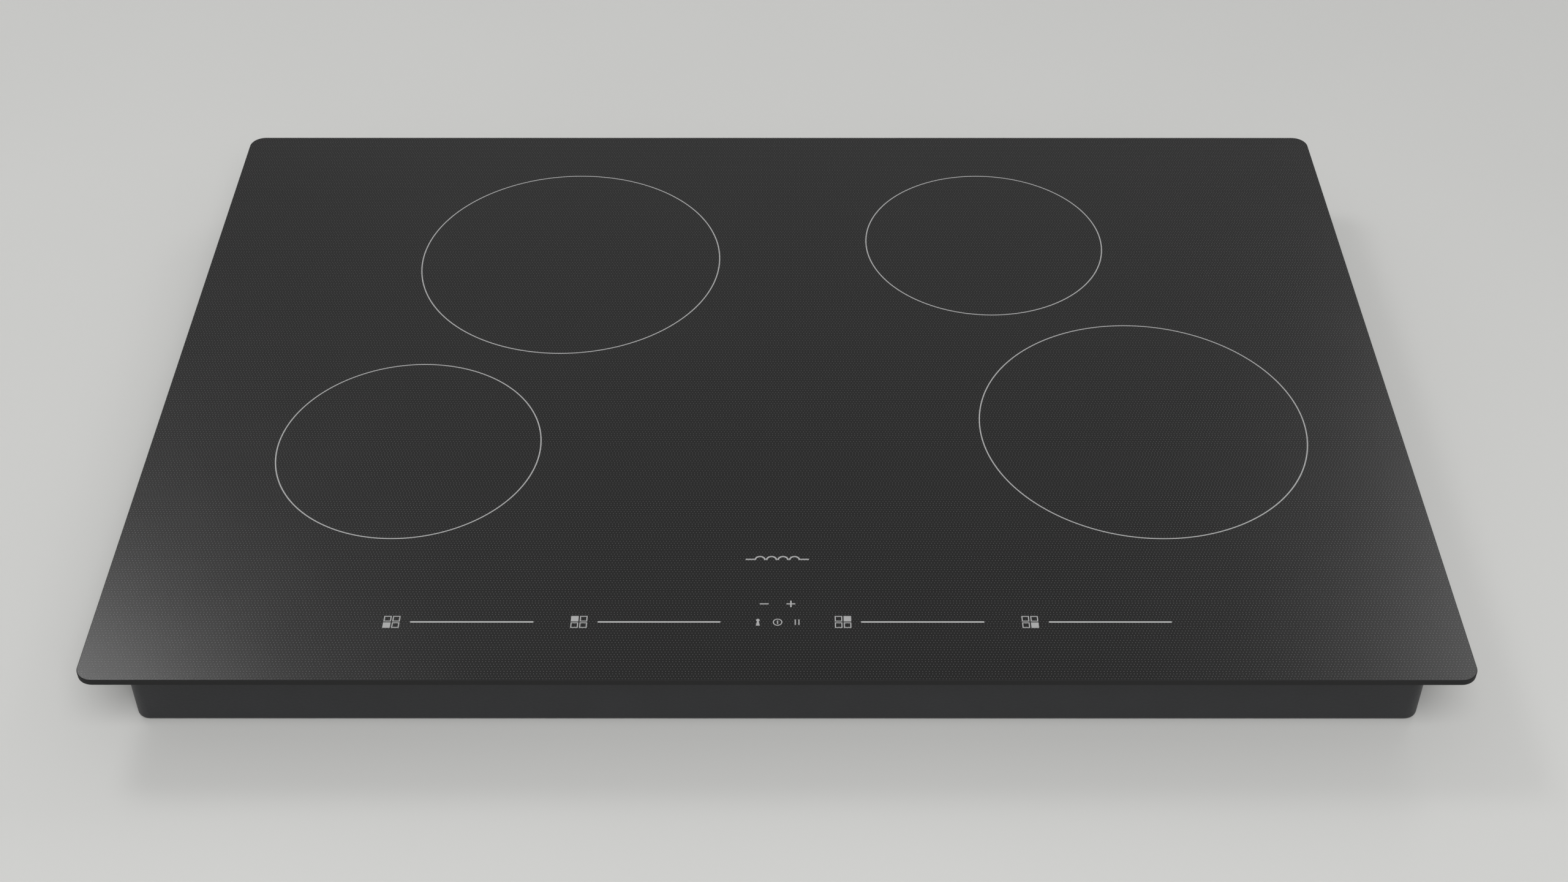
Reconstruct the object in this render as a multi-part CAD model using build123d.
from build123d import *
import math
import os

os.makedirs("parts", exist_ok=True)

# An electric induction cooktop that drops into a worktop cut-out.
# All lengths are in millimetres. Z = 0 is the top of the worktop, under the sealing gasket,
# X = 0 and Y = 0 are the middle of the glass, and +Y is the side away from the cook.

# Glass-ceramic top
glass_width = 764.0
glass_depth = 532.0
glass_thickness = 4.0
glass_corner = 10.0
glass_bevel = 0.4

# Foam gasket between the glass and the worktop
gasket_thickness = 1.0
gasket_inset = 3.0
gasket_band = 10.0

# Chassis pan of folded sheet steel
pan_width = 726.0
pan_depth = 490.0
pan_height = 50.0
pan_corner = 8.0
pan_bend = 2.4
sheet = 0.8
rim_gap = 0.6
vent_width = 3.5
vent_pitch = 8.0
vent_heights = ((7.0, 17.0), (22.0, 32.0))
rear_vents = (75.0, 9)
side_vents = (80.0, 14)
cut_margin = 1.0

# Folded brackets under the glass, each screwed through a wall
bracket_x = 285.0
bracket_inner_x = 60.0
bracket_y = 90.0
bracket_screw_z = -6.0
bracket_sheet = 1.2
bracket_width = 24.0
bracket_foot = 15.0
bracket_leg = 12.0
bracket_screw_radius = 2.0
bracket_screw_length = 5.0
bracket_hole_radius = 2.1

# Cooking zones: two large and two small ones, lined up along a rear and a front tangent line
large_zone = 100.0
small_zone = 80.0
rear_line = 216.4
front_line = -154.9
rear_x = 139.6
front_x = 224.2

# Coil stack under each zone, from the glass down
float_gap = 0.3
mica_thickness = 0.7
mica_margin = 1.0
winding_thickness = 3.2
winding_margin = 8.0
winding_inner = 27.0
former_web = 1.6
former_margin = 4.0
hub_outer = 24.0
hub_bore = 10.0
ferrite_width = 12.0
ferrite_thickness = 4.2
ferrite_inner = 31.0
ferrite_count = 8
pocket_gap = 0.2
rivet_circle = 17.0
rivet_count = 3
rivet_radius = 1.6
rivet_head_radius = 3.0
rivet_head = 1.0
rivet_clearance = 0.05
spoke_wall = 1.6
sensor_radius = 5.0
sensor_hole_radius = 7.0
sensor_flange_radius = 9.0
sensor_flange = 1.5
sensor_wire_hole_radius = 3.0

# Aluminium plate that carries a large and a small coil on four springs
plate_thickness = 2.0
plate_inner_x = 30.0
plate_outer_x = 330.0
plate_front_y = -166.0
plate_rear_y = 222.0
plate_travel = 3.0
plate_corner = 12.0
post_x = (45.0, 318.0)
post_y = (-156.0, 212.0)

# Round springs and the posts that they stand on
spring_wire = 1.0
plate_spring_radius = 5.5
plate_spring_turns = 6
plate_post_radius = 2.5
touch_spring_radius = 4.5
touch_spring_turns = 3
touch_post_radius = 6.0
touch_post_x = (-200.0, -76.0, 76.0, 200.0)
touch_seat_z = -26.0
touch_pin_radius = 2.0
touch_travel = 2.0

# Circuit boards and what stands on them
board_thickness = 1.6
board_inner_x = 128.0
board_outer_x = 345.0
board_front_y = -10.0
board_rear_y = 182.0
standoff_radius = 4.0
standoff_height = 6.0
tray_thickness = 1.5
tray_margin = 3.0
tray_corner = 4.0
board_corner = 3.0
screw_radius = 1.45
screw_bore_radius = 1.5
screw_length = 6.0
screw_head_radius = 2.9
screw_head = 1.8
screw_socket = 1.0
screw_socket_radius = 0.9
sink_length = 88.0
sink_height = 22.0
sink_base = 4.0
fin_thickness = 1.5
fin_pitch = 4.3
fin_count = 9
sink_shelf = 17.0
sink_inset = 2.0
transistor_count = 4
transistor_width = 15.6
transistor_depth = 14.0
transistor_height = 4.6
transistor_setback = 1.0
leg_pitch = 5.0
leg_width = 1.0
leg_thickness = 0.8
leg_reach = 4.0
leg_level = 2.0
resonance_x = (166.0, 216.0)
resonance_y = (30.0, 58.0)
resonance_size = (42.0, 18.0, 24.0)
capacitor_corner = 1.5
capacitor_edge = 1.2
filter_half_width = 80.0
filter_y = (-140.0, -12.0)
filter_screw_inset = 8.0
choke_place = (-34.0, -84.0)
choke_ring = 17.0
choke_section = 6.5
choke_lift = 8.5
choke_foot_radius = 20.0
choke_foot = 3.0
filter_capacitor_x = 26.0
filter_capacitor_y = (-72.0, -96.0)
filter_capacitor_size = (32.0, 15.0, 21.0)

# Radial fans
fan_x = 75.0
fan_y = 138.0
fan_size = 84.0
fan_height = 24.0
fan_wall = 1.6
impeller_radius = 31.0
fan_corner = 14.0
fan_outlet_inset = 16.0
fan_screw_shift = 20.0
motor_radius = 13.0
motor_height = 4.0
blade_count = 22
blade_length = 8.4
blade_thickness = 1.0
blade_turn = 35.0
back_plate = 1.2
back_plate_gap = 4.8
lower_ring = 1.4
lower_ring_width = 2.5
impeller_lift = 3.0
impeller_hub_radius = 5.0
shaft_radius = 1.5
shaft_clearance = 0.06

# Touch control strip along the front
touch_y = -222.0
touch_half_width = 232.0
touch_depth = 32.0
slider_spans = ((-219.8, -136.0), (-115.3, -31.8), (31.9, 115.3), (136.2, 219.8))
pad_depth = 9.4
pad_thickness = 1.6
pad_corner = 2.0
key_pad = 8.4
key_row_lift = 12.0
upper_keys = (-7.6, 7.6)
lower_keys = (-11.0, 0.0, 11.0)
carrier_plate = 1.5
carrier_depth = 6.0
carrier_wall = 2.0
touch_header = 7.0
ribbon_width = 14.0
ribbon_thickness = 1.0
ribbon_y = -211.0
ribbon_end_y = -140.0
ribbon_lift = 4.5

# Terminal box in the rear wall, with a hinged cover and a cable collar
box_x = (151.0, 259.0)
box_front_y = 203.0
box_z = (-45.5, -17.5)
box_wall = 1.6
cover_x = (186.0, 255.0)
cover_thickness = 2.0
cover_gap = 0.6
cover_pin_radius = 1.0
cover_knuckle_radius = 1.3
lug_radius = 1.9
cable_bore_radius = 6.5
collar_radius = 9.0
collar_length = 12.0
collar_x = 168.0
collar_proud = 2.0
flange_height = 2.5
hinge_drop = 2.0
lug_thickness = 3.0
pin_clearance = 0.05
cover_pin_length = 2.4
cover_ribs = 3
cover_rib_half = 12.0
cover_rib_pitch = 2.4
pole_pitch = 12.0
pole_count = 5
pole_inset = 10.0
pole_hole_z = -32.0
pole_hole_radius = 2.6
pole_hole_depth = 6.0
block_y = (214.0, 230.0)
block_height = 18.0
terminal_well = 3.6
terminal_well_depth = 5.0
terminal_screw_height = 3.0
earth_stud = (120.0, 193.0)
earth_stud_radius = 2.0
earth_stud_height = 8.0

# Spring clips on the side walls
clip_y = (-160.0, 160.0)
clip_width = 20.0
clip_sheet = 0.8
clip_pin_radius = 0.8
clip_pin_clearance = 0.06
clip_side_gap = 0.5
clip_lug = 1.2
clip_foot_length = 8.5
clip_foot = 1.0
clip_rivet_radius = 2.0
clip_pivot = (2.3, -42.0)
clip_knee = (8.0, -16.0)
clip_tip = (6.9, -9.0)
clip_bend = 4.0

# Wires
wire_diameter = 2.8
lead_diameter = 3.0
wire_pair_spacing = 10.0
socket_clearance = 0.3
socket_depth = 8.0
connector_width = 22.0
connector_depth = 12.0
connector_height = 12.0
socket_level = 6.4
supply_socket_y = -34.0
branch_socket = (64.0, -62.0)
power_socket = (160.0, 4.0)
lead_drop = 15.0
lead_hole_radius = 10.0
lug_sheet = 1.2
lug_ring_radius = 5.0
lug_barrel = 3.4
arc_share = 0.45
largest_arc = 200.0

# Heights that follow from the driving dimensions
glass_under = gasket_thickness
mica_top = glass_under - float_gap
winding_top = mica_top - mica_thickness
former_top = winding_top - winding_thickness
plate_top = former_top - former_web - ferrite_thickness
plate_under = plate_top - plate_thickness
floor_top = -pan_height
floor_under = floor_top - sheet
board_under = floor_top + standoff_height
board_top = board_under + board_thickness
wall_x = pan_width / 2
wall_y = pan_depth / 2
inner_x = wall_x - sheet
inner_y = wall_y - sheet
fan_top = floor_top + fan_height
sink_front_y = fan_y - fin_pitch * (fin_count - 1) / 2 - sink_shelf
lead_end_z = board_top + connector_height - socket_depth
touch_board_under = mica_top - pad_thickness - board_thickness
touch_under = touch_board_under - carrier_depth
ribbon_level = board_top + ribbon_lift
box_middle_z = sum(box_z) / 2
hinge_y = wall_y + cover_gap + cover_thickness / 2
hinge_z = box_z[0] - hinge_drop

# Each zone's place and radius
zones = {
    "left": {
        "rear": (-rear_x, rear_line - large_zone, large_zone),
        "front": (-front_x, front_line + small_zone, small_zone),
    },
    "right": {
        "rear": (rear_x, rear_line - small_zone, small_zone),
        "front": (front_x, front_line + large_zone, large_zone),
    },
}
sides = {"left": -1, "right": 1}
lead_sockets = {"rear": (300.0, 150.0), "front": (300.0, 45.0)}


# ---- Small makers that the sub-parts share ----

def save(name, *shapes):
    solids = [solid for shape in shapes for solid in shape.solids()]
    export_step(Compound(solids), f"parts/{name}.step")


def block(x_span, y_span, z_span):
    # A box between two planes along each axis, given in either order
    spans = [sorted(span) for span in (x_span, y_span, z_span)]
    size = [high - low for low, high in spans]
    centre = [(high + low) / 2 for low, high in spans]
    return Pos(*centre) * Box(*size)


def disc(x, y, radius, z_span):
    low, high = sorted(z_span)
    return Pos(x, y, (low + high) / 2) * Cylinder(radius, high - low)


def slab(width, depth, radius, z_span, x=0.0, y=0.0):
    # A plate with rounded upright corners
    low, high = sorted(z_span)
    return extrude(Pos(x, y, low) * RectangleRounded(width, depth, radius), amount=high - low)


def side_slab(side, x_span, y_span, z_span, radius):
    # A slab on the left or right half, given by its distances from the centre line
    x = side * (x_span[0] + x_span[1]) / 2
    y = (y_span[0] + y_span[1]) / 2
    return slab(x_span[1] - x_span[0], y_span[1] - y_span[0], radius, z_span, x, y)


def rod_x(x_span, y, z, radius):
    length = abs(x_span[1] - x_span[0])
    return Pos(sum(x_span) / 2, y, z) * Rot(0, 90, 0) * Cylinder(radius, length)


def rod_y(x, y_span, z, radius):
    length = abs(y_span[1] - y_span[0])
    return Pos(x, sum(y_span) / 2, z) * Rot(90, 0, 0) * Cylinder(radius, length)


def turned(x, y, angle, shape):
    return Pos(x, y, 0) * Rot(0, 0, angle) * shape


def spread(count, turn=360.0):
    return [turn * index / count for index in range(count)]


def wire(points, section):
    # Straight runs joined by arcs that are as large as the shorter of their two runs allows
    route = [Vector(*point) for point in points]
    radii = []
    for before, corner, after in zip(route, route[1:], route[2:]):
        run_in = corner - before
        run_out = after - corner
        half_turn = math.radians(run_in.get_angle(run_out)) / 2
        radius = arc_share * min(run_in.length, run_out.length) / math.tan(half_turn)
        radii.append(min(radius, largest_arc))
    path = FilletPolyline(*route, radius=radii)
    print("wire", round(path.length, 1), "mm long, arcs", [round(radius, 1) for radius in radii])
    heading = path % 0
    sideways = (0, 1, 0) if abs(heading.X) > abs(heading.Y) + abs(heading.Z) else (1, 0, 0)
    start = Plane(origin=path @ 0, x_dir=sideways, z_dir=heading)
    return sweep(start * section, path=path)


def coil_spring(x, y, z_span, radius, turns):
    # A helical spring with its wire's outside between the two heights
    low = z_span[0] + spring_wire / 2
    height = z_span[1] - spring_wire / 2 - low
    path = Pos(x, y, low) * Helix(pitch=height / turns, height=height, radius=radius)
    section = Plane(origin=path @ 0, z_dir=path % 0) * Circle(spring_wire / 2)
    return sweep(section, path=path, is_frenet=True)


# ---- Glass, gasket and chassis ----

def glass_top():
    glass = slab(glass_width, glass_depth, glass_corner, (glass_under, glass_under + glass_thickness))
    rims = glass.faces().sort_by(Axis.Z)[-1].edges() + glass.faces().sort_by(Axis.Z)[0].edges()
    return chamfer(rims, glass_bevel)


def edge_gasket():
    width = glass_width - 2 * gasket_inset
    depth = glass_depth - 2 * gasket_inset
    radius = glass_corner - gasket_inset
    outer = slab(width, depth, radius, (0, gasket_thickness))
    inner_size = (width - 2 * gasket_band, depth - 2 * gasket_band)
    return outer - slab(*inner_size, radius / 2, (0, gasket_thickness))


def vent_row(centre, count, z_span, along_x, wall_span):
    # Upright slots through a wall, evenly spaced about a centre
    slots = []
    for index in range(count):
        middle = centre + (index - (count - 1) / 2) * vent_pitch
        span = (middle - vent_width / 2, middle + vent_width / 2)
        if along_x:
            slots.append(block(span, wall_span, z_span))
        else:
            slots.append(block(wall_span, span, z_span))
    return slots


def inlet_grille(side):
    # Slots across a circle in the floor under the fan
    slots = []
    radius = impeller_radius - 3.0
    rows = int(2 * radius / vent_pitch)
    for index in range(rows):
        offset = (index - (rows - 1) / 2) * vent_pitch
        half = math.sqrt(radius**2 - offset**2) - vent_width / 2
        y_span = (fan_y + offset - vent_width / 2, fan_y + offset + vent_width / 2)
        slots.append(block((side * fan_x - half, side * fan_x + half), y_span, (floor_under, floor_top)))
    return slots


def vents():
    slots = []
    through_rear = (inner_y - cut_margin, wall_y + cut_margin)
    for side in sides.values():
        slots += inlet_grille(side)
        through_side = (side * (inner_x - cut_margin), side * (wall_x + cut_margin))
        for low, high in vent_heights:
            z_span = (floor_top + low, floor_top + high)
            slots += vent_row(side * rear_vents[0], rear_vents[1], z_span, True, through_rear)
            slots += vent_row(side_vents[0], side_vents[1], z_span, False, through_side)
    return slots


def pan_posts():
    # Short posts on the floor that the filter board and the fans are screwed to
    posts = [post for side in sides.values() for post in fan_screws(side)]
    return posts + filter_screws()


def fan_screws(side):
    reach = fan_size / 2 + standoff_radius + 1.0
    return [
        (side * (fan_x - fan_screw_shift), fan_y + reach),
        (side * (fan_x + fan_screw_shift), fan_y - reach),
    ]


def filter_screws():
    reach = filter_half_width - filter_screw_inset
    rows = (filter_y[0] + filter_screw_inset, filter_y[1] - filter_screw_inset)
    return [(x, y) for x in (-reach, reach) for y in rows]


def power_screws(side):
    inset = standoff_radius + 2.0
    x_places = (board_inner_x + inset, board_outer_x - inset)
    y_places = (board_front_y + inset, board_rear_y - inset)
    return [(side * x, y) for x in x_places for y in y_places]


def bracket_places():
    # Each bracket's wall point and the angle of its wall's outward normal
    front_x_places = (-bracket_x, bracket_x)
    rear_x_places = (-bracket_x, -bracket_inner_x, bracket_inner_x, bracket_x)
    places = [(x, -inner_y, -90.0) for x in front_x_places]
    places += [(x, inner_y, 90.0) for x in rear_x_places]
    places += [(inner_x, y, 0.0) for y in (-bracket_y, bracket_y)]
    places += [(-inner_x, y, 180.0) for y in (-bracket_y, bracket_y)]
    return places


def chassis_pan():
    rim = glass_under - rim_gap
    outer = slab(pan_width, pan_depth, pan_corner, (floor_under, rim))
    outer = fillet(outer.faces().sort_by(Axis.Z)[0].edges(), pan_bend)
    inner = slab(2 * inner_x, 2 * inner_y, pan_corner - sheet, (floor_top, rim))
    inner = fillet(inner.faces().sort_by(Axis.Z)[0].edges(), pan_bend - sheet)
    pan = outer - inner
    posts = [disc(x, y, standoff_radius, (floor_top - sheet / 2, board_under)) for x, y in pan_posts()]
    pan = pan + posts
    pan = pan + disc(*earth_stud, earth_stud_radius, (floor_top - sheet / 2, floor_top + earth_stud_height))
    cuts = vents()
    cuts += [disc(x, y, screw_bore_radius, (floor_top + 0.5, board_under)) for x, y in pan_posts()]
    for x, y, angle in bracket_places():
        hole = rod_x((-2.0, 2.0), 0, bracket_screw_z, bracket_hole_radius)
        cuts.append(turned(x, y, angle, hole))
    cuts.append(block(box_x, (inner_y - cut_margin, wall_y + cut_margin), box_z))
    return pan - cuts


def glass_brackets():
    # Folded tabs glued under the glass, each with a leg down the inside of a wall
    brackets = []
    half = bracket_width / 2
    for x, y, angle in bracket_places():
        foot = block((-bracket_foot, 0), (-half, half), (glass_under - bracket_sheet, glass_under))
        leg = block((-bracket_sheet, 0), (-half, half), (-bracket_leg, glass_under))
        hole = rod_x((-bracket_sheet - 1, 1), 0, bracket_screw_z, bracket_hole_radius)
        brackets.append(turned(x, y, angle, foot + leg - hole))
    return brackets


def bracket_screws():
    screws = []
    for x, y, angle in bracket_places():
        head_end = sheet + screw_head
        shank = rod_x((-bracket_screw_length, sheet), 0, bracket_screw_z, bracket_screw_radius)
        head = rod_x((sheet, head_end), 0, bracket_screw_z, 2 * bracket_screw_radius)
        driver = rod_x((head_end - screw_socket, head_end), 0, bracket_screw_z, screw_socket_radius)
        screws.append(turned(x, y, angle, shank + head - driver))
    return screws


# ---- Spring clips ----

def clip_bracket(side, y):
    # Two lugs riveted to the side wall, with the clip's pin between them
    out, z = clip_pivot
    pivot_x = side * (wall_x + out)
    half = clip_width / 2
    near = half + clip_side_gap
    pin_end = near + clip_lug - 0.2
    rivet_y = near + (clip_lug + clip_foot_length) / 2
    bracket = rod_y(pivot_x, (y - pin_end, y + pin_end), z, clip_pin_radius)
    for end in (-1, 1):
        lug_span = (y + end * near, y + end * (near + clip_lug))
        foot_span = (y + end * near, y + end * (near + clip_foot_length))
        bracket += block((side * wall_x, side * (wall_x + out + 1.4)), lug_span, (z - 2.2, z + 2.2))
        bracket += block((side * wall_x, side * (wall_x + clip_foot)), foot_span, (z - 4.0, z + 4.0))
        rivet_span = (side * (wall_x + clip_foot), side * (wall_x + 2.2))
        bracket += rod_x(rivet_span, y + end * rivet_y, z, clip_rivet_radius)
    return bracket


def spring_clip(side, y):
    # A leaf with a rolled eye at its foot, a knee that presses on the cut-out and a turned-in tip
    eye_radius = clip_pin_radius + clip_pin_clearance + clip_sheet
    foot = (clip_pivot[0] + eye_radius - clip_sheet / 2, clip_pivot[1])
    line = FilletPolyline(foot, clip_knee, clip_tip, radius=clip_bend)
    leaf = trace(line, clip_sheet)
    eye = Pos(*clip_pivot) * Circle(eye_radius)
    bore = Pos(*clip_pivot) * Circle(clip_pin_radius + clip_pin_clearance)
    profile = leaf + eye - bore
    edge = (side * wall_x, y + side * clip_width / 2, 0)
    upright = Plane(origin=edge, x_dir=(side, 0, 0), z_dir=(0, -side, 0))
    return extrude(upright * profile, amount=clip_width)


# ---- Coils ----

def winding_outer(radius):
    return radius - winding_margin


def coil_winding(x, y, radius):
    outer = disc(x, y, winding_outer(radius), (former_top, winding_top))
    return outer - disc(x, y, winding_inner, (former_top, winding_top))


def rivet_points(x, y):
    points = []
    for angle in spread(rivet_count):
        turn = math.radians(angle + 30.0)
        points.append((x + rivet_circle * math.cos(turn), y + rivet_circle * math.sin(turn)))
    return points


def coil_former(x, y, radius):
    # A web under the winding, a hub for the sensor, and spokes with a pocket for each ferrite bar
    reach = winding_outer(radius)
    pocket_top = former_top - former_web
    former = disc(x, y, reach + former_margin, (pocket_top, former_top))
    former += disc(x, y, hub_outer, (plate_top, former_top))
    pockets = []
    for angle in spread(ferrite_count):
        half = ferrite_width / 2 + pocket_gap
        side_wall = half + spoke_wall
        spoke = block((hub_outer - 2.0, reach + 2.0), (-side_wall, side_wall), (plate_top, pocket_top))
        pocket = block(
            (ferrite_inner - pocket_gap, ferrite_reach(radius) + pocket_gap),
            (-half, half),
            (plate_top, pocket_top),
        )
        former += turned(x, y, angle, spoke)
        pockets.append(turned(x, y, angle, pocket))
    bore = rivet_radius + rivet_clearance
    holes = [disc(px, py, bore, (plate_top, former_top)) for px, py in rivet_points(x, y)]
    return former - pockets - holes - disc(x, y, hub_bore, (plate_top, former_top))


def ferrite_reach(radius):
    return winding_outer(radius) - 2.0


def ferrite_bars(x, y, radius):
    half = ferrite_width / 2
    height = (plate_top, former_top - former_web)
    bar = block((ferrite_inner, ferrite_reach(radius)), (-half, half), height)
    return [turned(x, y, angle, bar) for angle in spread(ferrite_count)]


def mica_sheet(x, y, radius):
    sheet_disc = disc(x, y, winding_outer(radius) + mica_margin, (winding_top, mica_top))
    return sheet_disc - disc(x, y, sensor_hole_radius, (winding_top, mica_top))


def temperature_sensor(x, y):
    flange = disc(x, y, sensor_flange_radius, (plate_top, plate_top + sensor_flange))
    return flange + disc(x, y, sensor_radius, (plate_top, mica_top))


def coil_rivets(x, y):
    rivets = []
    for px, py in rivet_points(x, y):
        shank = disc(px, py, rivet_radius, (plate_under - rivet_head, former_top + rivet_head))
        upper = disc(px, py, rivet_head_radius, (former_top, former_top + rivet_head))
        lower = disc(px, py, rivet_head_radius, (plate_under - rivet_head, plate_under))
        rivets.append(shank + upper + lower)
    return rivets


def lead_direction(side, row, x, y):
    socket_x, socket_y = lead_sockets[row]
    away = Vector(side * socket_x - x, socket_y - y, 0)
    return away.normalized()


def coil_plate(side_name):
    side = sides[side_name]
    x_span = (plate_inner_x, plate_outer_x)
    y_span = (plate_front_y, plate_rear_y)
    plate = side_slab(side, x_span, y_span, (plate_under, plate_top), plate_corner)
    holes = []
    for row, (x, y, radius) in zones[side_name].items():
        away = lead_direction(side, row, x, y)
        drop = Vector(x, y, 0) + away * (winding_outer(radius) + lead_drop)
        holes.append(disc(drop.X, drop.Y, lead_hole_radius, (plate_under, plate_top)))
        holes.append(disc(x, y, sensor_wire_hole_radius, (plate_under, plate_top)))
        for px, py in rivet_points(x, y):
            holes.append(disc(px, py, rivet_radius + rivet_clearance, (plate_under, plate_top)))
    return plate - holes


def coil_leads(side_name):
    # The two ends of each winding, down through the plate into the power board's sockets
    side = sides[side_name]
    leads = []
    for row, (x, y, radius) in zones[side_name].items():
        socket_x, socket_y = lead_sockets[row]
        away = lead_direction(side, row, x, y)
        across = Vector(-away.Y, away.X, 0) * side
        rim = winding_outer(radius)
        level = (winding_top + former_top) / 2
        for end in (-1, 1):
            offset = Vector(x, y, 0) + across * (end * wire_pair_spacing / 2)
            inset = rim - math.sqrt(rim**2 - (wire_pair_spacing / 2) ** 2)
            start = offset + away * (rim - inset + 0.6)
            top = offset + away * (rim + lead_drop - 1.0)
            below = offset + away * (rim + lead_drop + 1.0)
            mouth = (side * socket_x, socket_y + end * wire_pair_spacing / 2)
            points = [
                (start.X, start.Y, level),
                (top.X, top.Y, level),
                (below.X, below.Y, -20.0),
                (*mouth, -24.0),
                (*mouth, lead_end_z),
            ]
            leads.append(wire(points, Circle(lead_diameter / 2)))
    return leads


# ---- Springs and posts ----

def plate_posts(side):
    return [(side * x, y) for x in post_x for y in post_y]


def plate_springs(side):
    span = (floor_top, plate_under - float_gap)
    return [
        coil_spring(x, y, span, plate_spring_radius, plate_spring_turns) for x, y in plate_posts(side)
    ]


def spring_posts():
    posts = []
    for side in sides.values():
        for x, y in plate_posts(side):
            top = plate_under - plate_travel - 1.6
            posts.append(disc(x, y, plate_post_radius, (floor_top, top)))
    for x in touch_post_x:
        foot = disc(x, touch_y, touch_post_radius, (floor_top, touch_seat_z))
        pin_top = touch_under - touch_travel - 1.0
        posts.append(foot + disc(x, touch_y, touch_pin_radius, (touch_seat_z, pin_top)))
    return posts


def touch_springs():
    span = (touch_seat_z, touch_under - float_gap)
    return [
        coil_spring(x, touch_y, span, touch_spring_radius, touch_spring_turns) for x in touch_post_x
    ]


# ---- Power electronics ----

def inner_screw(x, y):
    shank = disc(x, y, screw_radius, (board_top - screw_length, board_top))
    head = disc(x, y, screw_head_radius, (board_top, board_top + screw_head))
    socket_span = (board_top + screw_head - screw_socket, board_top + screw_head)
    driver = disc(x, y, screw_socket_radius, socket_span)
    return shank + head - driver


def all_screw_points():
    points = pan_posts()
    for side in sides.values():
        points += power_screws(side)
    return points


def board_tray(side):
    x_span = (board_inner_x - tray_margin, board_outer_x + tray_margin)
    y_span = (board_front_y - tray_margin, board_rear_y + tray_margin)
    tray = side_slab(side, x_span, y_span, (floor_top, floor_top + tray_thickness), tray_corner)
    bores = []
    for x, y in power_screws(side):
        tray += disc(x, y, standoff_radius, (floor_top, board_under))
        bores.append(disc(x, y, screw_bore_radius, (floor_top + tray_thickness / 2, board_under)))
    return tray - bores


def power_board(side):
    x_span = (board_inner_x, board_outer_x)
    y_span = (board_front_y, board_rear_y)
    board = side_slab(side, x_span, y_span, (board_under, board_top), board_corner)
    return board - board_holes(power_screws(side))


def board_holes(places):
    return [disc(x, y, screw_bore_radius + 0.1, (board_under, board_top)) for x, y in places]


def heat_sink(side):
    # An aluminium extrusion with its fins along the fan's air stream and a shelf for the transistors
    start_x = board_inner_x + sink_inset
    x_span = (side * start_x, side * (start_x + sink_length))
    rear_y = fan_y + fin_pitch * (fin_count - 1) / 2 + fin_thickness / 2
    sink = block(x_span, (sink_front_y, rear_y), (board_top, board_top + sink_base))
    for index in range(fin_count):
        middle = fan_y + (index - (fin_count - 1) / 2) * fin_pitch
        y_span = (middle - fin_thickness / 2, middle + fin_thickness / 2)
        sink += block(x_span, y_span, (board_top + sink_base, board_top + sink_height))
    return sink


def transistor(x):
    # A flat package on the shelf, with three legs bent down to the board
    shelf_top = board_top + sink_base
    half = transistor_width / 2
    body_front = sink_front_y + transistor_setback
    body = block(
        (x - half, x + half),
        (body_front, body_front + transistor_depth),
        (shelf_top, shelf_top + transistor_height),
    )
    bolt_y = body_front + transistor_depth - 4.0
    body -= disc(x, bolt_y, 1.8, (shelf_top + 1.0, shelf_top + transistor_height))
    level = shelf_top + leg_level
    leg_top = level + leg_thickness / 2
    leg_front = body_front - leg_reach
    for offset in (-leg_pitch, 0.0, leg_pitch):
        leg_x = (x + offset - leg_width / 2, x + offset + leg_width / 2)
        body += block(leg_x, (leg_front, body_front), (level - leg_thickness / 2, leg_top))
        body += block(leg_x, (leg_front, leg_front + leg_thickness), (board_top, leg_top))
    return body


def power_transistors():
    pitch = sink_length / transistor_count
    return [
        transistor(side * (board_inner_x + sink_inset + pitch * (index + 0.5)))
        for side in sides.values()
        for index in range(transistor_count)
    ]


def box_capacitor(x, y, width, depth, height):
    case = slab(width, depth, capacitor_corner, (board_top, board_top + height), x, y)
    return fillet(case.faces().sort_by(Axis.Z)[-1].edges(), capacitor_edge)


def resonance_capacitors():
    return [
        box_capacitor(side * x, y, *resonance_size)
        for side in sides.values()
        for x in resonance_x
        for y in resonance_y
    ]


def connector(x, y, angle, upward=False):
    # A two-way socket block that faces away from its back, or upward
    half = connector_width / 2
    body = block((-half, half), (0, connector_depth), (board_top, board_top + connector_height))
    radius = max(wire_diameter, lead_diameter) / 2 + socket_clearance
    for end in (-1, 1):
        across = end * wire_pair_spacing / 2
        if upward:
            top = board_top + connector_height
            body -= disc(across, connector_depth / 2, radius, (top - socket_depth, top))
        else:
            mouth = (connector_depth - socket_depth, connector_depth)
            body -= rod_y(across, mouth, board_top + socket_level, radius)
    return turned(x, y, angle, body)


def board_connectors():
    blocks = [connector(0.0, supply_socket_y, 0.0)]
    for side in sides.values():
        blocks.append(connector(side * branch_socket[0], branch_socket[1], -90.0 * side))
        blocks.append(connector(side * power_socket[0], power_socket[1], 180.0))
        for x, y in lead_sockets.values():
            blocks.append(connector(side * (x - connector_depth / 2), y, -90.0 * side, upward=True))
    half = ribbon_width / 2 + 2.0
    header = block((-half, half), (ribbon_end_y, ribbon_end_y + 8.0), (board_top, board_top + 9.0))
    return blocks + [header]


# ---- Filter board ----

def filter_board():
    depth = filter_y[1] - filter_y[0]
    middle = sum(filter_y) / 2
    board = slab(2 * filter_half_width, depth, board_corner, (board_under, board_top), 0.0, middle)
    return board - board_holes(filter_screws())


def filter_choke():
    # The outside of a wound ring, lying on a round foot
    ring = Pos(*choke_place, board_top + choke_lift) * Torus(choke_ring, choke_section)
    return ring + disc(*choke_place, choke_foot_radius, (board_top, board_top + choke_foot))


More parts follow.
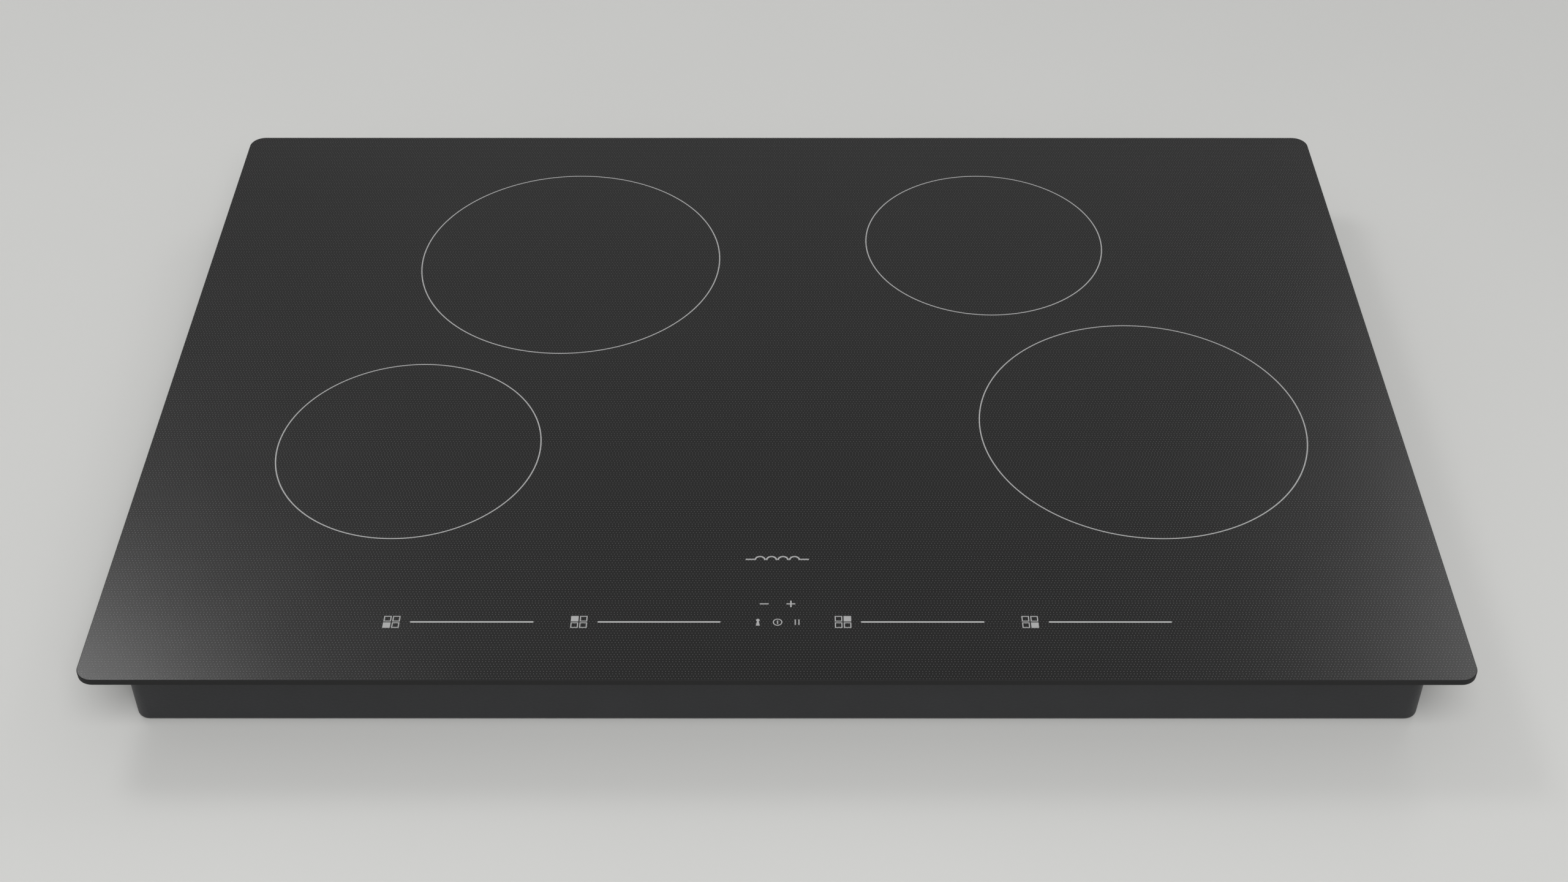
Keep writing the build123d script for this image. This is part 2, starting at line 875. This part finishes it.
def filter_capacitors():
    return [box_capacitor(filter_capacitor_x, y, *filter_capacitor_size) for y in filter_capacitor_y]


# ---- Fans ----

def fan_ears(side):
    # A screw ear in front of the housing and one behind it
    ears = []
    for x, y in fan_screws(side):
        forward = math.copysign(1.0, y - fan_y)
        wall = fan_y + forward * (fan_size / 2 - fan_wall / 2)
        ear = block((x - standoff_radius, x + standoff_radius), (wall, y), (board_under, board_top))
        ears.append(ear + disc(x, y, standoff_radius, (board_under, board_top)))
    return ears


def fan_housing(side):
    # A low box with a round inlet below, an open outer side and the motor's seat under its roof
    x = side * fan_x
    inner = fan_size - 2 * fan_wall
    inside_z = (floor_top + fan_wall, fan_top - fan_wall)
    housing = slab(fan_size, fan_size, fan_corner, (floor_top, fan_top), x, fan_y)
    housing -= slab(inner, inner, fan_corner - fan_wall, inside_z, x, fan_y)
    housing -= disc(x, fan_y, impeller_radius - 4.0, (floor_top, floor_top + fan_wall))
    outlet_half = fan_size / 2 - fan_outlet_inset
    housing -= block((x, x + side * fan_size), (fan_y - outlet_half, fan_y + outlet_half), inside_z)
    for ear in fan_ears(side):
        housing += ear
    housing = housing - board_holes(fan_screws(side))
    housing += disc(x, fan_y, motor_radius, (fan_top - fan_wall - motor_height, fan_top - fan_wall))
    return housing + disc(x, fan_y, shaft_radius, (floor_top + 4.0, fan_top - fan_wall))


def fan_impeller(side):
    # A back plate, a hub on the shaft, a ring of tilted blades and a lower ring
    x = side * fan_x
    plate_z = fan_top - fan_wall - back_plate_gap - back_plate
    top = plate_z + back_plate
    low = floor_top + impeller_lift
    ring_span = (low, low + lower_ring)
    impeller = disc(x, fan_y, impeller_radius, (plate_z, top))
    impeller += disc(x, fan_y, impeller_hub_radius, (low + impeller_lift, plate_z))
    ring = disc(x, fan_y, impeller_radius, ring_span)
    impeller += ring - disc(x, fan_y, impeller_radius - lower_ring_width, ring_span)
    blades = []
    for angle in spread(blade_count):
        half = blade_length / 2
        edge = blade_thickness / 2
        blade = block((-half, half), (-edge, edge), (low, plate_z + back_plate / 2))
        placed = Pos(impeller_radius - half + 0.2, 0, 0) * Rot(0, 0, blade_turn * side) * blade
        blades.append(turned(x, fan_y, angle, placed))
    rim = disc(x, fan_y, impeller_radius, (low, top))
    impeller += [blade & rim for blade in blades]
    return impeller - disc(x, fan_y, shaft_radius + shaft_clearance, (low, top))


# ---- Touch control ----

def touch_carrier():
    # A shallow channel with its open side down and a window for the ribbon cable's header
    width = 2 * touch_half_width
    inner = (width - 2 * carrier_wall, touch_depth - 2 * carrier_wall)
    hollow_z = (touch_under, touch_board_under - carrier_plate)
    carrier = slab(width, touch_depth, 4.0, (touch_under, touch_board_under), 0.0, touch_y)
    carrier -= slab(*inner, 2.5, hollow_z, 0.0, touch_y)
    for x in touch_post_x:
        carrier += disc(x, touch_y, touch_spring_radius + 2.0, hollow_z)
    half = ribbon_width / 2 + 2.0
    return carrier - block((-half, half), (ribbon_y - 4.0, ribbon_y + 4.0), (touch_under, touch_board_under))


def touch_board():
    # The board with the ribbon cable's header on its underside
    size = (2 * (touch_half_width - carrier_wall), touch_depth - 2 * carrier_wall)
    z_span = (touch_board_under, touch_board_under + board_thickness)
    half = ribbon_width / 2 + 1.0
    header_z = (touch_board_under - touch_header, touch_board_under)
    header = block((-half, half), (ribbon_y - 3.0, ribbon_y + 3.0), header_z)
    return slab(*size, 2.0, z_span, 0.0, touch_y) + header


def touch_pads():
    # A clear light guide under each slider and under each group of keys
    z_span = (mica_top - pad_thickness, mica_top)
    pads = []
    for low, high in slider_spans:
        pads.append(slab(high - low, pad_depth, pad_corner, z_span, (low + high) / 2, touch_y))
    for x in upper_keys:
        pads.append(slab(key_pad, key_pad, pad_corner, z_span, x, touch_y + key_row_lift))
    for x in lower_keys:
        pads.append(slab(key_pad, key_pad, pad_corner, z_span, x, touch_y))
    return pads


def ribbon_cable():
    start_z = touch_board_under - touch_header - float_gap
    points = [
        (0, ribbon_y, start_z),
        (0, ribbon_y, -35.0),
        (0, ribbon_y + 34.0, ribbon_level),
        (0, ribbon_end_y, ribbon_level),
    ]
    return wire(points, Rectangle(ribbon_width, ribbon_thickness))


# ---- Terminal box and supply ----

def pole_x(index):
    return cover_x[0] + pole_inset + pole_pitch * index


def terminal_box():
    # A shell open to the rear, with the cable collar beside the covered opening
    shell = block(box_x, (box_front_y, wall_y), box_z)
    inside_x = (box_x[0] + box_wall, box_x[1] - box_wall)
    inside_z = (box_z[0] + box_wall, box_z[1] - box_wall)
    shell -= block(inside_x, (box_front_y + box_wall, wall_y), inside_z)
    shell += block((box_x[0], cover_x[0]), (wall_y - box_wall, wall_y), box_z)
    collar_end = wall_y + collar_proud
    shell += rod_y(collar_x, (collar_end - collar_length, collar_end), box_middle_z, collar_radius)
    bore_span = (wall_y - collar_length, collar_end + cut_margin)
    shell -= rod_y(collar_x, bore_span, box_middle_z, cable_bore_radius)
    flange_low = (box_z[0] - flange_height, box_z[0] + box_wall / 2)
    flange_high = (box_z[1] - box_wall / 2, box_z[1] + flange_height)
    for z_span in (flange_low, flange_high):
        shell += block(box_x, (inner_y - box_wall, inner_y), z_span)
    for lug_x in (cover_x[0] - float_gap - lug_thickness, cover_x[1] + float_gap):
        lug_z = (hinge_z - lug_radius, box_z[0] + box_wall)
        lug = block((lug_x, lug_x + lug_thickness), (wall_y, hinge_y + lug_radius), lug_z)
        bore_radius = cover_pin_radius + pin_clearance
        shell += lug - rod_x((lug_x, lug_x + lug_thickness), hinge_y, hinge_z, bore_radius)
    wall_span = (box_front_y - cut_margin, box_front_y + box_wall + cut_margin)
    wire_bore = wire_diameter / 2 + 2 * socket_clearance
    return shell - [rod_y(pole_x(index), wall_span, pole_hole_z, wire_bore) for index in range(3)]


def terminal_block():
    # A row of poles, each with a wire hole through it and a screw well on top
    width = pole_pitch * pole_count
    low_z = box_z[0] + box_wall
    first = pole_x(0) - pole_pitch / 2
    top = low_z + block_height
    body = block((first, first + width), block_y, (low_z, top))
    well_z = (top - terminal_well_depth, top)
    hole_y = (block_y[1] - pole_hole_depth, block_y[1])
    cuts = []
    for index in range(pole_count):
        cuts.append(disc(pole_x(index), sum(block_y) / 2, terminal_well, well_z))
        cuts.append(rod_y(pole_x(index), hole_y, pole_hole_z, pole_hole_radius))
    for index in range(1, pole_count):
        edge = first + pole_pitch * index
        cuts.append(block((edge - 0.5, edge + 0.5), block_y, (top - 4.0, top)))
    return body - cuts


def terminal_screws():
    low_z = box_z[0] + box_wall + block_height - terminal_well_depth
    top = low_z + terminal_screw_height
    screws = []
    for index in range(pole_count):
        x, y = (pole_x(index), sum(block_y) / 2)
        head = disc(x, y, terminal_well - 0.4, (low_z, top))
        slot = block((x - terminal_well, x + terminal_well), (y - 0.4, y + 0.4), (top - 1.2, top))
        screws.append(head - slot)
    return screws


def terminal_cover():
    # A flat lid with ribs for grip, and a knuckle with a stub pin at each end along its lower edge
    y_span = (hinge_y - cover_thickness / 2, hinge_y + cover_thickness / 2)
    lid = block(cover_x, y_span, (hinge_z + lug_radius + 0.4, box_z[1] - 0.5))
    neck = block((cover_x[0] + 8.0, cover_x[1] - 8.0), y_span, (hinge_z, hinge_z + lug_radius + 0.6))
    knuckle = rod_x(cover_x, hinge_y, hinge_z, cover_knuckle_radius)
    pin_span = (cover_x[0] - cover_pin_length, cover_x[1] + cover_pin_length)
    cover = lid + neck + knuckle + rod_x(pin_span, hinge_y, hinge_z, cover_pin_radius)
    middle = sum(cover_x) / 2
    rib_x = (middle - cover_rib_half, middle + cover_rib_half)
    for index in range(cover_ribs):
        z = box_z[1] - 5.0 - cover_rib_pitch * index
        cover += block(rib_x, (y_span[1], y_span[1] + 0.6), (z - 0.5, z + 0.5))
    return cover


def supply_wires():
    # Live and neutral from the terminal block to the filter board, then a pair to each power board
    wires = []
    for index, end in ((0, 1), (1, -1)):
        x = end * wire_pair_spacing / 2
        rear_y = 193.0 - 4.0 * end
        level = board_top + socket_level
        points = [
            (pole_x(index), block_y[0], pole_hole_z),
            (pole_x(index), rear_y, pole_hole_z),
            (pole_x(index) - 48.0, rear_y - 1.0, pole_hole_z - 1.0),
            (pole_x(index) - 98.0, rear_y + 0.5, pole_hole_z - 2.0),
            (x + 48.0, rear_y - 0.5, pole_hole_z - 2.5),
            (x, rear_y, pole_hole_z - 2.0),
            (x + 1.0, 146.0, pole_hole_z - 3.0),
            (x - 0.8, 92.0, pole_hole_z - 2.0),
            (x + 0.8, 38.0, pole_hole_z - 3.5),
            (x, 0.0, level),
            (x, supply_socket_y + connector_depth - socket_depth, level),
        ]
        wires.append(wire(points, Circle(wire_diameter / 2)))
    for side in sides.values():
        for end in (-1, 1):
            start_y = branch_socket[1] + end * wire_pair_spacing / 2
            end_x = side * (power_socket[0] - end * wire_pair_spacing / 2)
            level = board_top + socket_level
            points = [
                (side * (branch_socket[0] + connector_depth - socket_depth), start_y, level),
                (side * (branch_socket[0] + 44.0), start_y, level),
                (end_x, start_y + 16.0, level),
                (end_x, power_socket[1] - connector_depth + socket_depth, level),
            ]
            wires.append(wire(points, Circle(wire_diameter / 2)))
    return wires


def earth_wire():
    # From the third pole to a lug on the stud that is welded to the pan
    x, y = earth_stud
    lug_top = floor_top + lug_sheet
    barrel_top = lug_top + lug_barrel
    lug = disc(x, y, lug_ring_radius, (floor_top, lug_top))
    lug += block((x, x + 12.0), (y - 3.0, y + 3.0), (floor_top, barrel_top))
    lug -= disc(x, y, earth_stud_radius + 0.1, (floor_top, lug_top))
    lug -= disc(x, y, lug_ring_radius, (lug_top, barrel_top))
    points = [
        (pole_x(2), block_y[0], pole_hole_z),
        (pole_x(2), 196.0, pole_hole_z),
        (pole_x(2) - 22.0, 194.0, pole_hole_z - 12.0),
        (x + 36.0, y + 1.0, floor_top + 3.6),
        (x + 12.0, y, lug_top + 1.6),
    ]
    return [lug, wire(points, Circle(wire_diameter / 2))]


# ---- Write every sub-part ----

save("glass_top", glass_top())
save("edge_gasket", edge_gasket())
save("chassis_pan", chassis_pan())
save("glass_brackets", *glass_brackets())
save("glass_bracket_screws", *bracket_screws())

for side_name, side in sides.items():
    for row, y in zip(("front", "rear"), clip_y):
        save(f"spring_clip_{side_name}_{row}", spring_clip(side, y))
    for row, zone in zones[side_name].items():
        save(f"coil_winding_{side_name}_{row}", coil_winding(*zone))
    places = zones[side_name].values()
    save(f"coil_plate_{side_name}", coil_plate(side_name))
    save(f"coil_formers_{side_name}", *[coil_former(*zone) for zone in places])
    save(f"ferrite_bars_{side_name}", *[bar for zone in places for bar in ferrite_bars(*zone)])
    save(f"mica_sheets_{side_name}", *[mica_sheet(*zone) for zone in places])
    save(f"temperature_sensors_{side_name}", *[temperature_sensor(x, y) for x, y, radius in places])
    save(f"coil_rivets_{side_name}", *[rivet for x, y, radius in places for rivet in coil_rivets(x, y)])
    save(f"coil_leads_{side_name}", *coil_leads(side_name))
    save(f"plate_springs_{side_name}", *plate_springs(side))
    save(f"power_board_{side_name}", power_board(side))
    save(f"board_tray_{side_name}", board_tray(side))
    save(f"heat_sink_{side_name}", heat_sink(side))
    save(f"fan_housing_{side_name}", fan_housing(side))
    save(f"fan_impeller_{side_name}", fan_impeller(side))

save("clip_brackets", *[clip_bracket(side, y) for side in sides.values() for y in clip_y])
save("spring_posts", *spring_posts())
save("inner_screws", *[inner_screw(x, y) for x, y in all_screw_points()])
save("power_transistors", *power_transistors())
save("resonance_capacitors", *resonance_capacitors())
save("board_connectors", *board_connectors())
save("filter_board", filter_board())
save("filter_choke", filter_choke())
save("filter_capacitors", *filter_capacitors())
save("touch_carrier", touch_carrier())
save("touch_board", touch_board())
save("touch_pads", *touch_pads())
save("touch_springs", *touch_springs())
save("ribbon_cable", ribbon_cable())
save("terminal_box", terminal_box())
save("terminal_block", terminal_block())
save("terminal_screws", *terminal_screws())
save("terminal_cover", terminal_cover())
save("supply_wires", *supply_wires())
save("earth_wire", *earth_wire())
